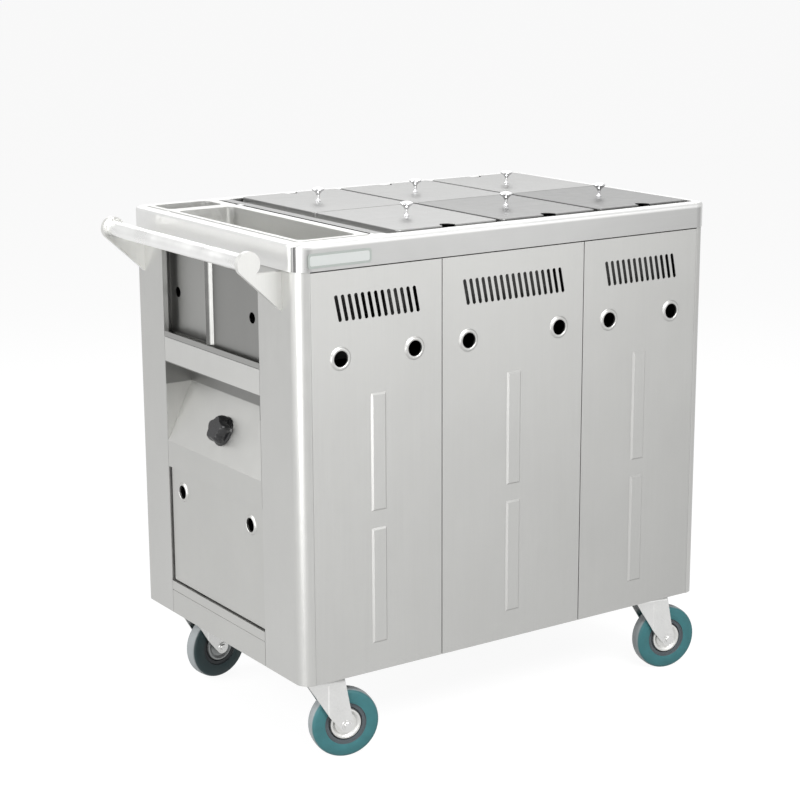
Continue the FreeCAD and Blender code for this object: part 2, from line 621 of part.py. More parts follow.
def bottom_rail():
    """Rail under the lower door, with the sill strip marked off by a groove."""
    y0, y1 = STILE_F + SEAM + 0.4, STILE_R - SEAM
    p = [(XL + RAIL_FOOT, ZB), (XL, ZB), (XL, Z_LOW_SILL), (XL + SILL_DEPTH, Z_LOW_SILL)]
    rail = fold_xz(p, T, y0, y1)
    deep, high = 0.9, 1.4
    groove = box(XL - 1, XL + deep, y0 - 1, y1 + 1, Z_SILL_LINE, Z_SILL_LINE + high)
    return rail.cut(groove)


def door_tracks():
    """One frame with twin channels below and above the sliding doors."""
    y0, y1 = STILE_F + 1.0, STILE_R - 1.0
    ya, yb = TRACK_Y
    z, zt = Z_TRACK, Z_TRACK_TOP
    xm, xr, xi = XL + 12.0, XL + TRACK_X, XL + TRACK_X - T
    xs = XL + STILE_RETURN + 0.7       # behind the stiles' folded edges
    xd = XL + DOOR_R_X - 6.8           # fin between the two doors
    low_fin, top_fin, side = 8.0, 7.0, 12.0
    parts = [box(XL, XL + T, y0, y1, z, Z_UP_SILL)]
    parts.append(box(XL, xm, y0, y1, z, z + T))
    parts.append(box(xs, xr, ya, yb, z, z + T))
    parts.append(box(xd, xd + T, ya, yb, z, z + low_fin))
    parts.append(box(xi, xr, ya, yb, z, Z_UP_SILL))
    parts.append(box(XL + T, xm, y0, y1, zt, zt + T))
    parts.append(box(xs, xr, ya, yb, zt, zt + T))
    parts.append(box(xd, xd + T, ya, yb, zt - top_fin, zt + T))
    parts.append(box(xi, xr, ya, yb, zt - top_fin - 2, zt + T))
    for y in (ya, yb - T):
        parts.append(box(xs, xr, y, y + T, z, zt + T))
    for y in (ya, yb - side):
        parts.append(box(xi, xr, y, y + side, z, zt + T))
    return fuse(parts)


def finger_hole(x, y, z, d):
    return Part.makeCylinder(d / 2, 60, V(x - 30, y, z), V(1, 0, 0))


def sliding_door_front():
    """Door in the outer channel with its edge bent out as a pull."""
    x0 = XL + DOOR_F_X
    z0, z1 = Z_TRACK + T + DOOR_GAP, Z_TRACK_TOP - DOOR_GAP
    y0, y1 = DOOR_Y_F
    zl0, zl1 = Z_UP_SILL + 0.8, Z_UP_TOP - 1.0
    plate = box(x0, x0 + DOOR_T, y0, y1, z0, z1)
    out = PULL_OUT
    p = [(x0, y1), (x0 - out, y1 + out), (x0 - out + 1.1, y1 + out + 1.1)]
    p += [(x0 + DOOR_T, y1 + 0.7), (x0 + DOOR_T, y1)]
    pull = polygon([V(x, y, zl0) for x, y in p], V(0, 0, zl1 - zl0))
    return fuse([plate, pull]).cut(finger_hole(x0, y0 + 52, SLIDE_HOLE_Z, SLIDE_HOLE_D))


def sliding_door_rear():
    """Door in the inner channel, behind the other one."""
    x0 = XL + DOOR_R_X
    z0, z1 = Z_TRACK + T + DOOR_GAP, Z_TRACK_TOP - DOOR_GAP
    y0, y1 = DOOR_Y_R
    plate = box(x0, x0 + DOOR_T, y0, y1, z0, z1)
    return plate.cut(finger_hole(x0, y1 - 26, SLIDE_HOLE_Z, SLIDE_HOLE_D))


def lower_door():
    """Lift-out tray door with two collared finger holes."""
    y0, y1 = STILE_F + 5.0, STILE_R - 5.5
    z0, z1 = Z_LOW_SILL + 3.5, Z_LOW_TOP - 2.0
    x0, deep = XL + 4.0, 12.0
    tray = box(x0, x0 + deep, y0, y1, z0, z1)
    tray = tray.cut(box(x0 + T, x0 + deep + 1, y0 + T, y1 - T, z0 + T, z1 - T))
    adds, cuts = [], []
    yc = (y0 + y1) / 2
    for s in (-1, 1):
        ring = collar(DOOR_HOLE_D, DOOR_COLLAR_D, DOOR_COLLAR_H)
        ring.rotate(V(0, 0, 0), V(0, 0, 1), -90)
        ring.translate(V(x0, yc + s * DOOR_HOLE_HALF, DOOR_HOLE_Z))
        adds.append(ring)
        cuts.append(finger_hole(x0, yc + s * DOOR_HOLE_HALF, DOOR_HOLE_Z, DOOR_HOLE_D))
    return fuse([tray] + adds).cut(Part.makeCompound(cuts))


def slope_point(z):
    k = (z - Z_SLOPE) / (Z_SLOPE_TOP - Z_SLOPE)
    return XL + SLOPE_DEPTH * k


def slope_normal():
    run, rise = SLOPE_DEPTH, Z_SLOPE_TOP - Z_SLOPE
    d = math.hypot(run, rise)
    return V(-rise / d, 0, run / d)


def control_panel():
    """Sheet with a flat band, a slope leaning back, a ceiling and two cheeks."""
    y0, y1 = STILE_F + SEAM, STILE_R - SEAM
    xs = XL + SLOPE_DEPTH
    p = [(XL + 12, Z_LOW_TOP), (XL, Z_LOW_TOP), (XL, Z_SLOPE), (xs, Z_SLOPE_TOP)]
    p += [(xs, Z_RECESS), (XL, Z_RECESS)]
    p = [(x, z if z != Z_RECESS else z - T) for x, z in p]
    sheet = fold_xz(p, T, y0, y1)
    tri = [V(XL, y0, Z_SLOPE), V(xs, y0, Z_SLOPE_TOP), V(xs, y0, Z_RECESS), V(XL, y0, Z_RECESS)]
    cheek = polygon(tri, V(0, T, 0))
    other = cheek.copy()
    other.translate(V(0, y1 - y0 - T, 0))
    n = slope_normal()
    at = V(slope_point(KNOB_Z), KNOB_Y, KNOB_Z)
    bore = Part.makeCylinder(BUSH_R + 0.05, 20, at - n * 10, n)
    return fuse([sheet, cheek, other]).cut(bore)


def thermostat_body():
    """Switch box behind the slope with a bushing through it."""
    n = slope_normal()
    at = V(slope_point(KNOB_Z), KNOB_Y, KNOB_Z)
    w, d, h, below = 38.0, 44.0, 30.0, 5.0
    case = Part.makeBox(w, d, h, V(-w / 2, -d / 2, -h - T))
    bush = Part.makeCylinder(BUSH_R, below + 3.0, V(0, 0, -below))
    case = case.fuse(bush)
    case = case.cut(Part.makeCylinder(SPINDLE_R + RUN_FIT, 30, V(0, 0, -20.0)))
    case.Placement = FreeCAD.Placement(at, FreeCAD.Rotation(V(0, 0, 1), n))
    return case


def control_knob():
    """Five-lobed knob on a short spindle, square to the slope."""
    def section(h, scale):
        pts = []
        for i in range(6 * LOBES):
            a = 2 * math.pi * i / (6 * LOBES)
            r = scale * (KNOB_R - LOBE_DEEP + LOBE_DEEP * math.cos(LOBES * a))
            pts.append(V(r * math.cos(a), r * math.sin(a), h))
        c = Part.BSplineCurve()
        c.interpolate(pts, PeriodicFlag=True)
        return Part.Wire(c.toShape())
    grip = Part.makeLoft([section(4.5, 1.0), section(17.0, 0.95), section(KNOB_H, 0.80)],
                         True, False)
    skirt = Part.makeCone(KNOB_R + 1.0, KNOB_R - 1.0, 3.6, V(0, 0, 1.0))
    spindle = Part.makeCylinder(SPINDLE_R, 22.0, V(0, 0, -17.0))
    knob = fuse([grip, skirt, spindle])
    socket = Part.makeCylinder(8.0, 4.0, V(0, 0, 0.9)).cut(Part.makeCylinder(SPINDLE_R, 6.0))
    knob = knob.cut(socket)
    at = V(slope_point(KNOB_Z), KNOB_Y, KNOB_Z)
    knob.Placement = FreeCAD.Placement(at, FreeCAD.Rotation(V(0, 0, 1), slope_normal()))
    return knob


def compartment_shelf():
    """Floor and side walls of the space behind the sliding doors."""
    x0, x1 = XL + TRACK_X, XL + BULKHEAD_X
    z0, z1 = Z_TRACK + 6.0, Z_UP_TOP - 39.0
    ya, yb = TRACK_Y
    p = [(ya, z1), (ya, z0), (yb, z0), (yb, z1)]
    outline = [V(x0, y, z) for y, z in strip(p, -LINER_T)]
    return polygon(outline, V(x1 - x0, 0, 0))


def inner_bulkhead():
    """Sheet between the storage spaces and the tank."""
    x = XL + BULKHEAD_X + 0.2
    margin, foot_w = 60.0, 16.0
    y0, y1 = YF + margin, YB - margin
    wall = box(x, x + LINER_T, y0, y1, ZB + 2, Z_LEDGE - T)
    foot = box(x, x + foot_w, y0, y1, ZB + 2, ZB + 2 + LINER_T)
    return fuse([wall, foot])


# ---- casters --------------------------------------------------------------
def caster_plate(x, y):
    """Mounting plate, bearing race and king pin of one caster."""
    z_plate = ZB - PLATE_T
    z_race = FORK_TOP + LIFT_GAP
    z_head = FORK_TOP - FORK_T - LIFT_GAP
    w, d = PLATE_HALF
    plate = rounded(x - w, x + w, y - d, y + d, z_plate, ZB, 6)
    r, c, head, tall = RACE_R, 2.0, 2 * PIN_R, 5.0
    prof = [V(0, 0, z_plate), V(r - c, 0, z_plate), V(r, 0, z_plate - c), V(r, 0, z_race + c)]
    prof += [V(r - c, 0, z_race), V(PIN_R, 0, z_race), V(PIN_R, 0, z_head), V(head, 0, z_head)]
    prof += [V(head, 0, z_head - 3), V(head - 3, 0, z_head - tall), V(0, 0, z_head - tall)]
    race = Part.Face(Part.makePolygon(prof + [prof[0]]))
    race = race.revolve(V(0, 0, 0), V(0, 0, 1), 360)
    race.translate(V(x, y, 0))
    return plate.fuse(race)


def fork_outline():
    """Side view of the trailing fork, in a frame with the swivel at X = 0."""
    r = BOSS_R
    cx, cz = TRAIL, AXLE_Z
    kx, kz = PRESS_X + 2.5, AXLE_Z + 17.0
    d = math.hypot(kx - cx, kz - cz)
    t = math.atan2(kz - cz, kx - cx) + math.acos(r / d)
    tx, tz = cx + r * math.cos(t), cz + r * math.sin(t)
    p = [V(tx, 0, tz), V(kx, 0, kz), V(FORK_BACK, 0, FORK_TOP), V(FORK_FRONT, 0, FORK_TOP)]
    p += [V(FORK_FRONT + 1.5, 0, FORK_TOP - CROWN_BAND - 2), V(TRAIL + 6, 0, AXLE_Z + 35)]
    p.append(V(cx + r, 0, cz))
    edges = [Part.makeLine(a, b) for a, b in zip(p, p[1:])]
    edges.append(Part.Arc(p[-1], V(cx, 0, cz - r), p[0]).toShape())
    face = Part.Face(Part.Wire(edges))
    face.translate(V(0, -40, 0))
    return face.extrude(V(0, 80, 0))


def fork_leg(side, z0, z1):
    """Leg seen from above: a strip, a crease and a gusset that stands in from it."""
    y = side * FORK_HALF
    y_in = side * (FORK_HALF - PRESS_IN)
    p = [(FORK_BACK, y_in), (PRESS_X - 1, y_in), (PRESS_X + 1, y), (TRAIL + BOSS_R + 2, y)]
    outline = [V(a, b, z0) for a, b in strip(p, side * FORK_T)]
    return polygon(outline, V(0, 0, z1 - z0))


def fork_crown(half, z0, z1, bend):
    """Solid bar along X whose two upper edges are rounded."""
    bar = box(FORK_BACK, TRAIL + BOSS_R + 2, -half, half, z0, z1)
    top = [e for e in bar.Edges if e.BoundBox.XLength > 2 * half and e.BoundBox.ZMin > z1 - 0.1]
    return bar.makeFillet(bend, top)


def caster_fork():
    """Pressed fork: bent crown, two creased legs with bosses, and a riveted axle."""
    z_legs = FORK_TOP - CROWN_BAND
    low = AXLE_Z - 2 * BOSS_R
    outer = fork_crown(FORK_HALF, z_legs, FORK_TOP, FORK_BEND)
    inner = fork_crown(FORK_HALF - FORK_T, z_legs - 1, FORK_TOP - FORK_T, FORK_BEND - FORK_T)
    legs = [fork_leg(side, low, z_legs) for side in (-1, 1)]
    fork = fuse([outer.cut(inner)] + legs).common(fork_outline())
    fork = fork.cut(Part.makeCylinder(PIN_R + RUN_FIT, 30, V(0, 0, FORK_TOP - 20)))
    axle = Part.makeCylinder(AXLE_R, 2 * FORK_HALF, V(TRAIL, -FORK_HALF, AXLE_Z), V(0, 1, 0))
    heads = []
    for s in (-1, 1):
        v = V(TRAIL, s * (FORK_HALF - 0.5), AXLE_Z)
        heads.append(Part.makeCone(10.5, 9.5, 1.7, v, V(0, s, 0)))
        heads.append(Part.makeCone(6.8, 5.8, 5.5, v, V(0, s, 0)))
    return fuse([fork, axle] + heads)


def wheel_hub():
    """Dished steel hub turned about its bore."""
    r = AXLE_R + RUN_FIT
    side = [(r, 18.5), (9.5, 18.5), (10.5, 16.0), (13.0, 13.0), (20.0, 12.4), (25.0, 15.2)]
    side += [(HUB_R - 1, 14.6), (HUB_R, 12.0)]
    pts = [V(a, b, 0) for a, b in side] + [V(a, -b, 0) for a, b in side[::-1]]
    face = Part.Face(Part.makePolygon(pts + [pts[0]]))
    hub = face.revolve(V(0, 0, 0), V(0, 1, 0), 360)
    hub.translate(V(TRAIL, 0, AXLE_Z))
    return hub


def wheel_tyre():
    """Rubber tyre with a groove round the hub, an inner band and rounded shoulders."""
    w = WHEEL_HALF
    band = [(HUB_R, w - 8), (HUB_R + 1.8, w - 8), (HUB_R + 2.6, w - 4.2), (37.0, w - 3.6)]
    band.append((38.5, w - 1.2))
    flank, ledge, shoulder, tread = (48.0, w), (57.5, w - 1.2), (61.6, w - 4.2), (63.2, w - 8.5)
    near = [V(a, b, 0) for a, b in band]
    far = [V(a, -b, 0) for a, b in band]
    edges = [Part.makeLine(far[0], near[0])]
    edges += [Part.makeLine(a, b) for a, b in zip(near, near[1:])]
    edges.append(Part.Arc(near[-1], V(*flank), V(*ledge)).toShape())
    edges.append(Part.Arc(V(*ledge), V(*shoulder), V(*tread)).toShape())
    mirror = [V(a, -b, 0) for a, b in (tread, shoulder, ledge, flank)]
    edges.append(Part.Arc(V(*tread), V(WHEEL_R, 0, 0), mirror[0]).toShape())
    edges.append(Part.Arc(mirror[0], mirror[1], mirror[2]).toShape())
    edges.append(Part.Arc(mirror[2], mirror[3], far[-1]).toShape())
    edges += [Part.makeLine(a, b) for a, b in zip(far[::-1], far[-2::-1])]
    tyre = Part.Face(Part.Wire(edges)).revolve(V(0, 0, 0), V(0, 1, 0), 360)
    tyre.translate(V(TRAIL, 0, AXLE_Z))
    return tyre


def placed(shape, x, y, turn):
    """Copy of a caster piece, turned about its swivel and moved into place."""
    out = shape.copy()
    out.rotate(V(0, 0, 0), V(0, 0, 1), turn)
    out.translate(V(x, y, 0))
    return out


# ---- write every node -----------------------------------------------------
def build():
    os.makedirs("parts", exist_ok=True)
    ring = body_ring()
    save(base_pan(), "base_pan")
    save(corner_stile_front(ring), "corner_stile_front")
    save(corner_stile_rear(ring), "corner_stile_rear")
    save(right_end_panel(ring), "right_end_panel")
    save(rear_panel(ring), "rear_panel")
    save(header_rail(ring), "header_rail")
    save(front_frame(), "front_frame")
    for i, side in enumerate(("left", "middle", "right")):
        save(front_panel(i), "front_panel_" + side)
    save(top_deck(), "top_deck")
    save(bin_tray(BIN_FRONT, BIN_LAP, BIN_MEET), "bin_front")
    save(bin_tray(BIN_REAR, BIN_MEET, BIN_LAP), "bin_rear")
    save(pan_support_grid(), "pan_support_grid")
    save(well_tank(), "well_tank")
    save(heating_element(), "heating_element")
    for row in range(2):
        for col in range(3):
            tag = ("front_", "rear_")[row] + str(col + 1)
            save(pan(col, row), "pan_" + tag)
            save(lid(col, row), "lid_" + tag)
            save(lid_knob(col, row), "lid_knob_" + tag)
    save(handle_tube(), "handle_tube")
    save(Part.makeCompound([handle_cheek(y) for y in CHEEK_Y]), "handle_cheeks")
    save(middle_rail(), "middle_rail")
    save(bottom_rail(), "bottom_rail")
    save(door_tracks(), "door_tracks")
    save(sliding_door_front(), "sliding_door_front")
    save(sliding_door_rear(), "sliding_door_rear")
    save(lower_door(), "lower_door")
    save(control_panel(), "control_panel")
    save(thermostat_body(), "thermostat_body")
    save(control_knob(), "control_knob")
    save(compartment_shelf(), "compartment_shelf")
    save(inner_bulkhead(), "inner_bulkhead")
    plates = [caster_plate(x, y) for _, x, y, _ in CASTERS]
    save(Part.makeCompound(plates), "caster_plates")
    fork, hub, tyre = caster_fork(), wheel_hub(), wheel_tyre()
    for name, x, y, turn in CASTERS:
        save(placed(fork, x, y, turn), "fork_" + name)
        save(placed(hub, x, y, turn), "hub_" + name)
        save(placed(tyre, x, y, turn), "tyre_" + name)


build()
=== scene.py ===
import json
import math

import bmesh
import bpy
from mathutils import Matrix, Vector

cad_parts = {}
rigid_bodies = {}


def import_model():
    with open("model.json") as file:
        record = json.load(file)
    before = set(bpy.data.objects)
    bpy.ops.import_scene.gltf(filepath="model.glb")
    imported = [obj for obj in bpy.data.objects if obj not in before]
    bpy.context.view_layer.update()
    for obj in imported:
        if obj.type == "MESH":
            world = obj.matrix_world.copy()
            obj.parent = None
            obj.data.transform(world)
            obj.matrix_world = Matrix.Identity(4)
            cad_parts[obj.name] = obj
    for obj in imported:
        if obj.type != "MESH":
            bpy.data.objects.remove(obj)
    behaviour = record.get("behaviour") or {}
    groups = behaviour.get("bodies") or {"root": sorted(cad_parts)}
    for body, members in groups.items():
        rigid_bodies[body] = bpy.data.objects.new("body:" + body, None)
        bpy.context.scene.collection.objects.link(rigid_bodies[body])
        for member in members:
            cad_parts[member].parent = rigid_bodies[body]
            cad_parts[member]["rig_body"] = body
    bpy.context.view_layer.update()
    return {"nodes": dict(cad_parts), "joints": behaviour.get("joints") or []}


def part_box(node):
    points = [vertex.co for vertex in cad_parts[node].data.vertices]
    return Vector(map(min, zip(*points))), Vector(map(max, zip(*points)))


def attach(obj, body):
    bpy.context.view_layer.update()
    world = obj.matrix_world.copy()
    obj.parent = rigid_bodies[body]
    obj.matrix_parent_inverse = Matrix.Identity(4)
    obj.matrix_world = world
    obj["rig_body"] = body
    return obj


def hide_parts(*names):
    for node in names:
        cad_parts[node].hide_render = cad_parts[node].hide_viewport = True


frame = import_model()
nodes = frame["nodes"]

# ---- camera: the photograph's viewpoint -----------------------------------
CAMERA_AT = (-2.0496, -3.0007, 1.4279)
CAMERA_AZIMUTH = 34.12          # degrees the view turns from +Y towards +X
CAMERA_DOWN = 13.49             # degrees it looks down
CAMERA_ROLL = -0.27
LENS_MM = 87.76                 # on a 36 mm wide sensor

# ---- the deck's badge plate, in metres ------------------------------------
BADGE_X = (0.0215, 0.1472)      # from the deck's left end
BADGE_Z = (0.0055, 0.0305)      # above the skirt's lower edge
BADGE_T = 0.0010                # thickness of the border
BORDER = 0.004                  # its width round the plate
FACE_PROUD = 0.0003             # how far the plate stands in front of it

# ---- lamps: name, place, what it faces, size in metres and watts ----------
LAMPS = (
    ("overhead", (0.3, 0.3, 3.3), (0.3, 0.3, 0.0), (5.0, 4.4), 23.0),
    ("over_back", (1.2, 2.2, 2.4), (0.0, 0.0, 0.9), (3.0, 1.6), 19.0),
    ("corner_low", (-2.6, -1.4, 0.6), (-0.4, -0.3, 0.5), (1.2, 1.0), 26.0),
    ("left_high", (-3.0, 0.8, 2.4), (-0.4, 0.0, 0.8), (2.0, 1.4), 46.0),
    ("left_middle", (-3.0, 0.6, 1.0), (-0.4, 0.0, 0.8), (1.6, 1.0), 10.0),
    ("front_high", (-0.4, -2.6, 2.6), (0.0, -0.3, 0.7), (2.2, 1.2), 92.0),
    ("front_right", (1.1, -2.4, 0.75), (-0.1, -0.3, 0.7), (1.4, 0.9), 3.5),
    ("front_far", (2.2, -2.4, 1.2), (0.2, -0.3, 0.6), (1.4, 1.2), 2.0),
)


# ---- node helpers ---------------------------------------------------------
class Tree:
    """Short way to build a shader tree."""

    def __init__(self, name):
        self.mat = bpy.data.materials.new(name)
        self.mat.use_nodes = True
        self.nt = self.mat.node_tree
        self.nt.nodes.clear()
        self.out = self.add("ShaderNodeOutputMaterial")

    def add(self, kind, **props):
        node = self.nt.nodes.new(kind)
        for key, value in props.items():
            setattr(node, key, value)
        return node

    def link(self, a, b):
        self.nt.links.new(a, b)

    def coords(self):
        return self.add("ShaderNodeTexCoord").outputs["Object"]

    def scaled(self, vec, scale):
        node = self.add("ShaderNodeMapping")
        self.link(vec, node.inputs["Vector"])
        node.inputs["Scale"].default_value = scale
        return node.outputs["Vector"]

    def noise(self, vec, scale, detail, rough):
        node = self.add("ShaderNodeTexNoise")
        self.link(vec, node.inputs["Vector"])
        node.inputs["Scale"].default_value = scale
        node.inputs["Detail"].default_value = detail
        node.inputs["Roughness"].default_value = rough
        return node.outputs["Fac"]

    def span(self, value, low, high, a=0.0, b=1.0):
        node = self.add("ShaderNodeMapRange")
        self.link(value, node.inputs["Value"])
        node.inputs["From Min"].default_value = a
        node.inputs["From Max"].default_value = b
        node.inputs["To Min"].default_value = low
        node.inputs["To Max"].default_value = high
        return node.outputs["Result"]

    def math(self, op, a, b):
        node = self.add("ShaderNodeMath", operation=op)
        for socket, value in zip(node.inputs, (a, b)):
            if isinstance(value, (int, float)):
                socket.default_value = value
            else:
                self.link(value, socket)
        return node.outputs[0]

    def times(self, first, *others):
        for other in others:
            first = self.math("MULTIPLY", first, other)
        return first

    def less(self, value, share):
        """value with that share of it taken off"""
        return self.math("MULTIPLY", value, self.math("SUBTRACT", 1.0, share))

    def away(self, value, middle):
        """distance of value from middle"""
        return self.math("ABSOLUTE", self.math("SUBTRACT", value, middle), 0.0)

    def mix(self, fac, a, b):
        node = self.add("ShaderNodeMix", data_type="RGBA")
        self.link(fac, node.inputs["Factor"])
        for socket, value in ((node.inputs["A"], a), (node.inputs["B"], b)):
            if isinstance(value, tuple):
                socket.default_value = (*value, 1.0)
            else:
                self.link(value, socket)
        return node.outputs["Result"]

    def bump(self, height, strength, distance):
        node = self.add("ShaderNodeBump")
        self.link(height, node.inputs["Height"])
        node.inputs["Strength"].default_value = strength
        node.inputs["Distance"].default_value = distance
        return node.outputs["Normal"]

    def principled(self, **values):
        """Surface shader with those inputs"""
        node = self.add("ShaderNodeBsdfPrincipled")
        for key, value in values.items():
            socket = node.inputs[key.replace("_", " ")]
            if isinstance(value, (int, float)):
                socket.default_value = value
            elif isinstance(value, tuple):
                socket.default_value = (*value, 1.0)
            else:
                self.link(value, socket)
        self.link(node.outputs[0], self.out.inputs["Surface"])


# ---- materials ------------------------------------------------------------
def brushed(name, shade, rough, grain, shading=None):
    """Brushed stainless sheet: fine lines along the grain, faint blotches and handling marks.

    grain gives how fast the lines change along X, Y and Z, per metre. shading returns a gain
    that paints light and shade into the colour from the place's X, Y and Z."""
    t = Tree(name)
    co = t.coords()
    lines = t.noise(t.scaled(co, grain), 1.0, 3.0, 0.6)
    broad = t.noise(co, 5.0, 3.0, 0.55)
    marks = t.noise(co, 38.0, 4.0, 0.6)
    tone = t.math("ADD", t.span(lines, -0.05, 0.05, 0.3, 0.7),
                  t.span(broad, -0.04, 0.04, 0.3, 0.7))
    level = t.span(tone, 0.0, 1.0, -0.1, 0.1)
    dark = tuple(c * 0.95 for c in shade)
    light = tuple(min(1.0, c * 1.04) for c in shade)
    colour = t.mix(level, dark, light)
    if shading:
        xyz = t.add("ShaderNodeSeparateXYZ")
        t.link(co, xyz.inputs[0])
        scale = t.add("ShaderNodeVectorMath", operation="SCALE")
        t.link(colour, scale.inputs[0])
        t.link(shading(t, *xyz.outputs), scale.inputs["Scale"])
        colour = scale.outputs[0]
    wear = t.math("ADD", t.span(lines, -0.05, 0.05, 0.3, 0.7),
                  t.span(marks, -0.02, 0.03, 0.35, 0.75))
    roughness = t.math("ADD", wear, rough)
    t.principled(Base_Color=colour, Metallic=1.0, Roughness=roughness,
                 Normal=t.bump(lines, 0.06, 0.0002))
    return t.mat


def polished(name, shade, rough):
    """Smooth bright metal with faint smears."""
    t = Tree(name)
    co = t.coords()
    smear = t.noise(co, 12.0, 3.0, 0.55)
    fine = t.noise(co, 160.0, 2.0, 0.5)
    colour = t.mix(smear, tuple(c * 0.93 for c in shade), shade)
    roughness = t.span(smear, rough * 0.7, rough * 1.5, 0.3, 0.7)
    t.principled(Base_Color=colour, Metallic=1.0, Roughness=roughness,
                 Normal=t.bump(fine, 0.05, 0.0002))
    return t.mat


def zinc(name, shade, rough):
    """Zinc plate: cloudy crystals and small pits."""
    t = Tree(name)
    co = t.coords()
    cells = t.add("ShaderNodeTexVoronoi")
    t.link(co, cells.inputs["Vector"])
    cells.inputs["Scale"].default_value = 260.0
    cloud = t.noise(co, 45.0, 4.0, 0.6)
    pits = t.noise(co, 700.0, 2.0, 0.5)
    tone = t.math("ADD", t.span(cells.outputs["Distance"], 0.0, 0.4), t.span(cloud, 0.0, 0.6))
    colour = t.mix(tone, tuple(c * 0.86 for c in shade), shade)
    roughness = t.span(cloud, rough * 0.8, rough * 1.3, 0.3, 0.7)
    t.principled(Base_Color=colour, Metallic=1.0, Roughness=roughness,
                 Normal=t.bump(pits, 0.15, 0.0003))
    return t.mat


def rubber(name, centre, axis, radii, colours):
    """Moulded tyre: rings of colour by the distance from the wheel's axle."""
    t = Tree(name)
    co = t.coords()
    arm = t.add("ShaderNodeVectorMath", operation="SUBTRACT")
    t.link(co, arm.inputs[0])
    arm.inputs[1].default_value = centre
    cross = t.add("ShaderNodeVectorMath", operation="CROSS_PRODUCT")
    t.link(arm.outputs[0], cross.inputs[0])
    cross.inputs[1].default_value = axis
    length = t.add("ShaderNodeVectorMath", operation="LENGTH")
    t.link(cross.outputs[0], length.inputs[0])
    r = length.outputs["Value"]
    grit = t.noise(co, 900.0, 3.0, 0.6)
    scuff = t.noise(co, 42.0, 4.0, 0.65)
    inner, outer = radii
    band, side, tread = colours
    side_colour = t.mix(t.span(scuff, 0.0, 1.0, 0.35, 0.75), side, tuple(c * 1.25 for c in side))
    colour = t.mix(t.span(r, 0.0, 1.0, inner - 0.0003, inner + 0.0003), band, side_colour)
    colour = t.mix(t.span(r, 0.0, 1.0, outer - 0.0006, outer + 0.0010), colour, tread)
    t.principled(Base_Color=colour, Roughness=t.span(scuff, 0.48, 0.66, 0.3, 0.7),
                 Normal=t.bump(grit, 0.25, 0.0003))
    return t.mat


def plastic(name, shade, rough):
    """Moulded plastic with a fine texture."""
    t = Tree(name)
    co = t.coords()
    grit = t.noise(co, 900.0, 2.0, 0.5)
    haze = t.noise(co, 60.0, 3.0, 0.5)
    colour = t.mix(haze, shade, tuple(min(1.0, c * 1.3 + 0.004) for c in shade))
    t.principled(Base_Color=colour, Roughness=t.span(haze, rough * 0.85, rough * 1.2, 0.3, 0.7),
                 Normal=t.bump(grit, 0.12, 0.0002))
    return t.mat


def enamel(name, shade, rough):
    """Printed or enamelled plate, nearly smooth."""
    t = Tree(name)
    haze = t.noise(t.coords(), 90.0, 2.0, 0.5)
    colour = t.mix(haze, tuple(c * 0.96 for c in shade), shade)
    t.principled(Base_Color=colour, Roughness=rough)
    return t.mat


def paint(names, material):
    """Gives CAD nodes that material alone."""
    for name in names:
        mesh = nodes[name].data
        mesh.materials.clear()
        mesh.materials.append(material)


def starting(*starts):
    """CAD nodes whose names start so"""
    return [n for n in nodes if n.startswith(starts)]


# ---- what the shades follow, in metres ------------------------------------
DECK_LEFT, DECK_FRONT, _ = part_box("top_deck")[0]
DECK_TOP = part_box("top_deck")[1][2]
BIN_INSET = 0.020                                 # the bins' gap to the cabinet's left end
CABINET_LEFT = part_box("bin_front")[0][0] - BIN_INSET
RAIL_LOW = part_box("middle_rail")[0][2]
DOOR_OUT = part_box("sliding_door_front")[0][0]
HOLE_FRONT, HOLE_BACK = DECK_FRONT + 0.034, DECK_FRONT + 0.574    # round the bins' opening
SLOT_RIGHT = CABINET_LEFT + 0.1750                # right edge of that opening
STRIP_RIGHT = CABINET_LEFT + 0.2045               # the strip of painted shade beside it ends here
# where the painted shade on the well's rear upstand starts
UPSTAND_SHADE_LEFT, UPSTAND_SHADE_FRONT = CABINET_LEFT + 0.190, DECK_FRONT + 0.5675
# painted dark reflections down the deck's corner
CORNER_REFLECTIONS = ((0.0165, 0.0022, 0.62), (0.0085, 0.0034, 0.86))   # middle, half width, depth


def front_shading(t, x, y, z):
    """Painted light and shade: sheets a little darker towards the right and the foot."""
    return t.times(t.span(x, 1.03, 0.92, -0.42, 0.48), t.span(z, 0.95, 1.0, 0.20, 0.60))


def recess_shading(t, x, y, z):
    """Shaded wall above the sloped panel, under the middle rail."""
    return t.span(z, 1.0, 0.45, RAIL_LOW - 0.0455, RAIL_LOW - 0.0435)


def door_shading(t, x, y, z):
    """Painted shade: the edge of the pull flange, which stands out from the door, is darker."""
    return t.span(x, 0.20, 1.0, DOOR_OUT + 0.004, DOOR_OUT + 0.006)


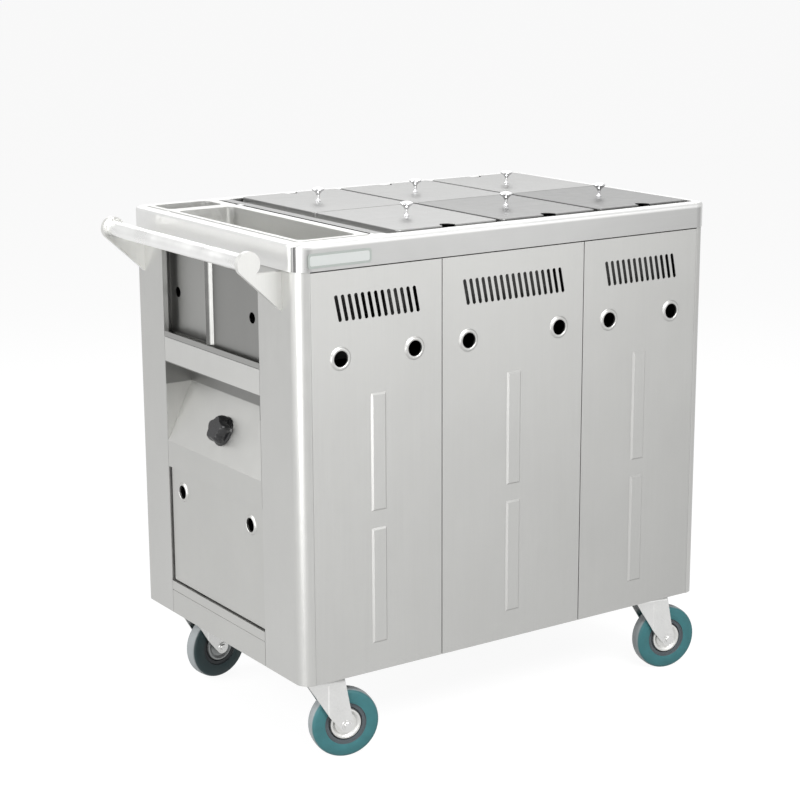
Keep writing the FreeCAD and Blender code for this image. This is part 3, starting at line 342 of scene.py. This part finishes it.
def deck_shading(t, x, y, z):
    """The deck's gain: a painted highlight on the left skirt, painted shade on the front skirt
    with two painted dark reflections down the corner between them, painted shade on the edge of
    the bins' slot, on the strip beside it and on the well's rear upstand."""
    # painted highlight on the left skirt, painted shade on the front skirt
    left_skirt = t.span(x, 1.05, 1.0, DECK_LEFT + 0.0010, DECK_LEFT + 0.0045)
    front_skirt = t.times(t.span(y, 0.42, 0.0, DECK_FRONT + 0.0010, DECK_FRONT + 0.0045),
                          t.span(z, 1.0, 0.0, DECK_TOP - 0.0095, DECK_TOP - 0.0060))
    gain = t.less(left_skirt, front_skirt)
    # two painted dark reflections down the deck's front-left corner
    across = t.math("SUBTRACT", t.math("SUBTRACT", y, DECK_FRONT),
                    t.math("SUBTRACT", x, DECK_LEFT))
    corner = t.times(t.span(z, 1.0, 0.0, DECK_TOP - 0.0045, DECK_TOP - 0.0030),
                     t.span(x, 1.0, 0.0, DECK_LEFT + 0.020, DECK_LEFT + 0.024))
    for middle, half, depth in CORNER_REFLECTIONS:
        line = t.span(t.away(across, middle), depth, 0.0, half, half + 0.0018)
        gain = t.less(gain, t.times(line, corner))
    beside_hole = t.times(t.span(y, 0.0, 1.0, HOLE_FRONT, HOLE_FRONT + 0.008),
                          t.span(y, 1.0, 0.0, HOLE_BACK - 0.010, HOLE_BACK - 0.004))
    # painted shade on the return face at the edge of the bins' slot
    edge = t.times(t.span(t.away(x, SLOT_RIGHT), 0.94, 0.0, 0.0010, 0.0016),
                   t.span(z, 1.0, 0.0, DECK_TOP - 0.0008, DECK_TOP - 0.0003))
    gain = t.less(gain, t.times(edge, beside_hole))
    # painted shade on the deck strip beside the slot
    strip = t.times(t.span(x, 0.0, 0.62, SLOT_RIGHT + 0.0002, SLOT_RIGHT + 0.0012),
                    t.span(x, 1.0, 0.0, STRIP_RIGHT, STRIP_RIGHT + 0.0015))
    gain = t.less(gain, t.times(strip, beside_hole))
    # painted shade on the well's rear upstand, seen through the gaps between lids
    upstand = t.times(t.span(y, 0.0, 1.0, UPSTAND_SHADE_FRONT, UPSTAND_SHADE_FRONT + 0.0010),
                      t.span(y, 1.0, 0.0, UPSTAND_SHADE_FRONT + 0.0065, UPSTAND_SHADE_FRONT + 0.0105),
                      t.span(x, 0.0, 1.0, UPSTAND_SHADE_LEFT, UPSTAND_SHADE_LEFT + 0.010))
    upstand_shade = t.span(z, 0.62, 0.0, DECK_TOP - 0.0022, DECK_TOP - 0.0012)
    return t.less(gain, t.times(upstand, upstand_shade))


# how fast the grain changes along X, Y and Z, per metre
ALONG_X = (6.0, 900.0, 900.0)
ALONG_Y = (900.0, 6.0, 900.0)
ALONG_Z = (900.0, 900.0, 6.0)
STEEL = (0.535, 0.535, 0.522)
END_STEEL = (0.52, 0.52, 0.505)

front_steel = brushed("front_steel", STEEL, 0.42, ALONG_Z, front_shading)
stile_steel = brushed("stile_steel", STEEL, 0.40, ALONG_Z)
end_steel = brushed("end_steel", END_STEEL, 0.42, ALONG_Z)
recess_steel = brushed("recess_steel", END_STEEL, 0.42, ALONG_Z, recess_shading)
rail_steel = brushed("rail_steel", (0.595, 0.595, 0.58), 0.40, ALONG_Z)
# the deck's base is lighter than the body's steel: painted light
deck_steel = brushed("deck_steel", (0.78, 0.78, 0.77), 0.34, ALONG_X, deck_shading)
grid_steel = brushed("grid_steel", (0.86, 0.86, 0.85), 0.60, ALONG_X)
lid_steel = brushed("lid_steel", (0.36, 0.36, 0.355), 0.34, ALONG_X)
# darker copies of the lid steel for the middle and right front lids: painted shade
middle_lid_painted_shade = brushed("middle_lid_painted_shade", (0.24, 0.24, 0.237), 0.34, ALONG_X)
right_lid_painted_shade = brushed("right_lid_painted_shade", (0.20, 0.20, 0.198), 0.34, ALONG_X)
pan_steel = brushed("pan_steel", (0.62, 0.62, 0.61), 0.38, ALONG_Y)
bin_steel = brushed("bin_steel", (0.66, 0.66, 0.645), 0.40, ALONG_Y)
# sliding doors and tracks darker than the body's steel, the outer door darker still: painted
# shade of the recess
door_painted_shade = brushed("door_painted_shade", (0.355, 0.355, 0.345), 0.36, ALONG_Z)
outer_door_painted_shade = brushed("outer_door_painted_shade", (0.272, 0.272, 0.264), 0.36, ALONG_Z,
                           door_shading)
# near black for the inner sheets: painted shade inside the cabinet
inner_painted_shade = brushed("inner_painted_shade", (0.10, 0.10, 0.098), 0.50, ALONG_X)
cheek_steel = brushed("cheek_steel", (0.70, 0.70, 0.68), 0.42, ALONG_Z)
bar_steel = polished("bar_steel", (0.93, 0.93, 0.92), 0.30)
chrome = polished("chrome", (0.86, 0.86, 0.87), 0.05)
element_metal = polished("element_metal", (0.32, 0.31, 0.30), 0.35)
fork_zinc = zinc("fork_zinc", (0.74, 0.74, 0.73), 0.34)
hub_zinc = zinc("hub_zinc", (0.72, 0.72, 0.70), 0.36)
# darker zinc for the rear-left hub: painted shade
rear_hub_painted_shade = zinc("rear_hub_painted_shade", (0.30, 0.31, 0.31), 0.5)
knob_black = plastic("knob_black", (0.012, 0.012, 0.013), 0.28)
case_plastic = plastic("case_plastic", (0.62, 0.61, 0.57), 0.45)

paint(starting(""), front_steel)
paint(["corner_stile_front", "corner_stile_rear", "right_end_panel", "rear_panel"], stile_steel)
paint(["bottom_rail", "lower_door"], end_steel)
paint(["control_panel"], recess_steel)
paint(["header_rail", "middle_rail"], rail_steel)
paint(["sliding_door_rear", "door_tracks"], door_painted_shade)
paint(["sliding_door_front"], outer_door_painted_shade)
paint(["top_deck"], deck_steel)
paint(["pan_support_grid"], grid_steel)
paint(starting("bin_"), bin_steel)
paint(starting("pan_front", "pan_rear"), pan_steel)
paint(starting("lid_front", "lid_rear"), lid_steel)
paint(["lid_front_2"], middle_lid_painted_shade)
paint(["lid_front_3"], right_lid_painted_shade)
paint(starting("lid_knob"), chrome)
paint(["base_pan", "front_frame", "inner_bulkhead", "compartment_shelf", "well_tank"],
      inner_painted_shade)
paint(["heating_element"], element_metal)
paint(["thermostat_body"], case_plastic)
paint(["handle_tube"], bar_steel)
paint(["handle_cheeks"], cheek_steel)
paint(starting("fork_", "caster_plates"), fork_zinc)
paint(starting("hub_"), hub_zinc)
paint(["hub_rear_left"], rear_hub_painted_shade)
paint(["control_knob"], knob_black)

# tyres: where the inner band ends and the tread starts; colours of band, side and tread
BAND_R, TREAD_R = 0.0385, 0.0618
TYRE_COLOURS = ((0.075, 0.09, 0.10), (0.034, 0.145, 0.158), (0.36, 0.39, 0.40))
# rear-left tyre: painted shade on its band and side, a painted highlight on its tread
SHADED_TYRE = ((0.030, 0.036, 0.040), (0.014, 0.034, 0.037), (0.42, 0.45, 0.46))
for joint in frame["joints"]:
    if joint["name"].startswith("roll_"):
        where = joint["name"][len("roll_"):]
        colours = SHADED_TYRE if where == "rear_left" else TYRE_COLOURS
        tyre = rubber("tyre_" + where, joint["pos_m"], joint["axis"], (BAND_R, TREAD_R), colours)
        paint(["tyre_" + where], tyre)


# ---- the open slot between the bins and the deck --------------------------
# sheet edges that move, measured from CABINET_LEFT, and how far they go along X
DECK_EDGE, DECK_SHIFT = (0.1593, 0.1735), 0.0035
BIN_WALL, BIN_SHIFT = (0.1615, 0.1690), -0.0045
ANY_Y = 1.0                     # further out than any part of the trolley


def reshaped(node, low, high, shift):
    """Copy of a CAD sheet whose vertices between low and high are moved along X."""
    source = nodes[node]
    piece = source.copy()
    piece.data = source.data.copy()
    piece.name = piece.data.name = node + "_sheet"
    body = source["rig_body"]
    for key in list(piece.keys()):
        del piece[key]
    bpy.context.scene.collection.objects.link(piece)
    for vertex in piece.data.vertices:
        x, y, _ = vertex.co
        if low[0] < x < high[0] and low[1] < y < high[1]:
            vertex.co.x += shift
    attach(piece, body)
    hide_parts(node)


reshaped("top_deck", (CABINET_LEFT + DECK_EDGE[0], HOLE_FRONT),
         (CABINET_LEFT + DECK_EDGE[1], HOLE_BACK), DECK_SHIFT)
for bin_sheet in ("bin_front", "bin_rear"):
    reshaped(bin_sheet, (CABINET_LEFT + BIN_WALL[0], -ANY_Y),
             (CABINET_LEFT + BIN_WALL[1], ANY_Y), BIN_SHIFT)


# ---- the bare badge plate -------------------------------------------------
def rounded_plate(name, width, height, corner, thick, steps=8):
    """Flat plate in X-Z with round corners, its face towards -Y."""
    bm = bmesh.new()
    ring = []
    for cx, cz, start in ((1, -1, -90), (1, 1, 0), (-1, 1, 90), (-1, -1, 180)):
        for i in range(steps + 1):
            a = math.radians(start + 90 * i / steps)
            x = cx * (width / 2 - corner) + corner * math.cos(a)
            z = cz * (height / 2 - corner) + corner * math.sin(a)
            ring.append(bm.verts.new((x, 0, z)))
    face = bm.faces.new(ring)
    moved = bmesh.ops.extrude_face_region(bm, geom=[face])
    verts = [g for g in moved["geom"] if isinstance(g, bmesh.types.BMVert)]
    bmesh.ops.translate(bm, verts=verts, vec=(0, -thick, 0))
    bmesh.ops.recalc_face_normals(bm, faces=bm.faces)
    mesh = bpy.data.meshes.new(name)
    bm.to_mesh(mesh)
    bm.free()
    piece = bpy.data.objects.new(name, mesh)
    bpy.context.scene.collection.objects.link(piece)
    bevel = piece.modifiers.new("edge", "BEVEL")
    bevel.width = thick * 0.35
    bevel.segments = 2
    return piece


def badge():
    """Bare plate with a grey-green border on the deck's front skirt."""
    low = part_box("top_deck")[0]
    x = low[0] + (BADGE_X[0] + BADGE_X[1]) / 2
    z = low[2] + (BADGE_Z[0] + BADGE_Z[1]) / 2
    width, height = BADGE_X[1] - BADGE_X[0], BADGE_Z[1] - BADGE_Z[0]
    border = rounded_plate("badge_border", width, height, 0.006, BADGE_T)
    border.location = (x, low[1], z)
    face = rounded_plate("badge_face", width - 2 * BORDER, height - 2 * BORDER, 0.004,
                         BADGE_T + FACE_PROUD)
    face.location = (x, low[1], z)
    for piece, material in ((border, enamel("badge_border", (0.36, 0.39, 0.37), 0.35)),
                            (face, enamel("badge_face", (0.56, 0.58, 0.57), 0.45))):
        piece.data.materials.append(material)
        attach(piece, "cabinet")


badge()


# ---- stage, light and camera ----------------------------------------------
def floor():
    """Wide pale ground that glows to the camera and in reflections, grey to other light."""
    mesh = bpy.data.meshes.new("floor")
    half = 60.0
    mesh.from_pydata([(-half, -half, 0), (half, -half, 0), (half, half, 0), (-half, half, 0)], [],
                     [(0, 1, 2, 3)])
    plane = bpy.data.objects.new("floor", mesh)
    bpy.context.scene.collection.objects.link(plane)
    t = Tree("floor")
    rays = t.add("ShaderNodeLightPath")
    seen = t.math("MAXIMUM", rays.outputs["Is Camera Ray"], rays.outputs["Is Glossy Ray"])
    seen = t.math("MAXIMUM", seen, rays.outputs["Is Transmission Ray"])
    diffuse = t.add("ShaderNodeBsdfDiffuse")
    t.link(t.mix(seen, (0.45, 0.45, 0.45), (0.85, 0.85, 0.85)), diffuse.inputs["Color"])
    glow = t.add("ShaderNodeEmission")
    t.link(t.span(rays.outputs["Is Camera Ray"], 1.0, 1.16), glow.inputs["Strength"])
    mixer = t.add("ShaderNodeMixShader")
    t.link(t.math("MULTIPLY", seen, 0.8), mixer.inputs[0])
    t.link(diffuse.outputs[0], mixer.inputs[1])
    t.link(glow.outputs[0], mixer.inputs[2])
    t.link(mixer.outputs[0], t.out.inputs["Surface"])
    mesh.materials.append(t.mat)


def world():
    """White to the camera and in reflections, dim as a light."""
    w = bpy.data.worlds.new("studio")
    bpy.context.scene.world = w
    w.use_nodes = True
    nt = w.node_tree
    nt.nodes.clear()
    out = nt.nodes.new("ShaderNodeOutputWorld")
    seen = nt.nodes.new("ShaderNodeBackground")
    seen.inputs["Strength"].default_value = 1.0
    ambient = nt.nodes.new("ShaderNodeBackground")
    ambient.inputs["Strength"].default_value = 0.1
    rays = nt.nodes.new("ShaderNodeLightPath")
    a = nt.nodes.new("ShaderNodeMath")
    a.operation = "MAXIMUM"
    b = nt.nodes.new("ShaderNodeMath")
    b.operation = "MAXIMUM"
    nt.links.new(rays.outputs["Is Camera Ray"], a.inputs[0])
    nt.links.new(rays.outputs["Is Glossy Ray"], a.inputs[1])
    nt.links.new(a.outputs[0], b.inputs[0])
    nt.links.new(rays.outputs["Is Transmission Ray"], b.inputs[1])
    mixer = nt.nodes.new("ShaderNodeMixShader")
    nt.links.new(b.outputs[0], mixer.inputs[0])
    nt.links.new(ambient.outputs[0], mixer.inputs[1])
    nt.links.new(seen.outputs[0], mixer.inputs[2])
    nt.links.new(mixer.outputs[0], out.inputs["Surface"])


def softbox(name, at, aim, size, power):
    """Square lamp that the camera doesn't see."""
    lamp = bpy.data.lights.new(name, "AREA")
    lamp.shape = "RECTANGLE"
    lamp.size, lamp.size_y = size
    lamp.energy = power
    holder = bpy.data.objects.new(name, lamp)
    bpy.context.scene.collection.objects.link(holder)
    holder.location = at
    direction = Vector(aim) - Vector(at)
    holder.rotation_euler = direction.to_track_quat("-Z", "Y").to_euler()
    holder.visible_camera = False


def camera():
    """The photograph's viewpoint."""
    data = bpy.data.cameras.new("camera")
    data.sensor_width = 36.0
    data.lens = LENS_MM
    data.clip_end = 200.0
    cam = bpy.data.objects.new("camera", data)
    bpy.context.scene.collection.objects.link(cam)
    turn = Matrix.Rotation(math.radians(-CAMERA_AZIMUTH), 4, "Z")
    tilt = Matrix.Rotation(math.radians(90 - CAMERA_DOWN), 4, "X")
    roll = Matrix.Rotation(math.radians(CAMERA_ROLL), 4, "Z")
    cam.matrix_world = Matrix.Translation(CAMERA_AT) @ turn @ tilt @ roll
    bpy.context.scene.camera = cam


floor()
world()
for lamp_row in LAMPS:
    softbox(*lamp_row)
camera()
bpy.context.scene.view_settings.view_transform = "Standard"
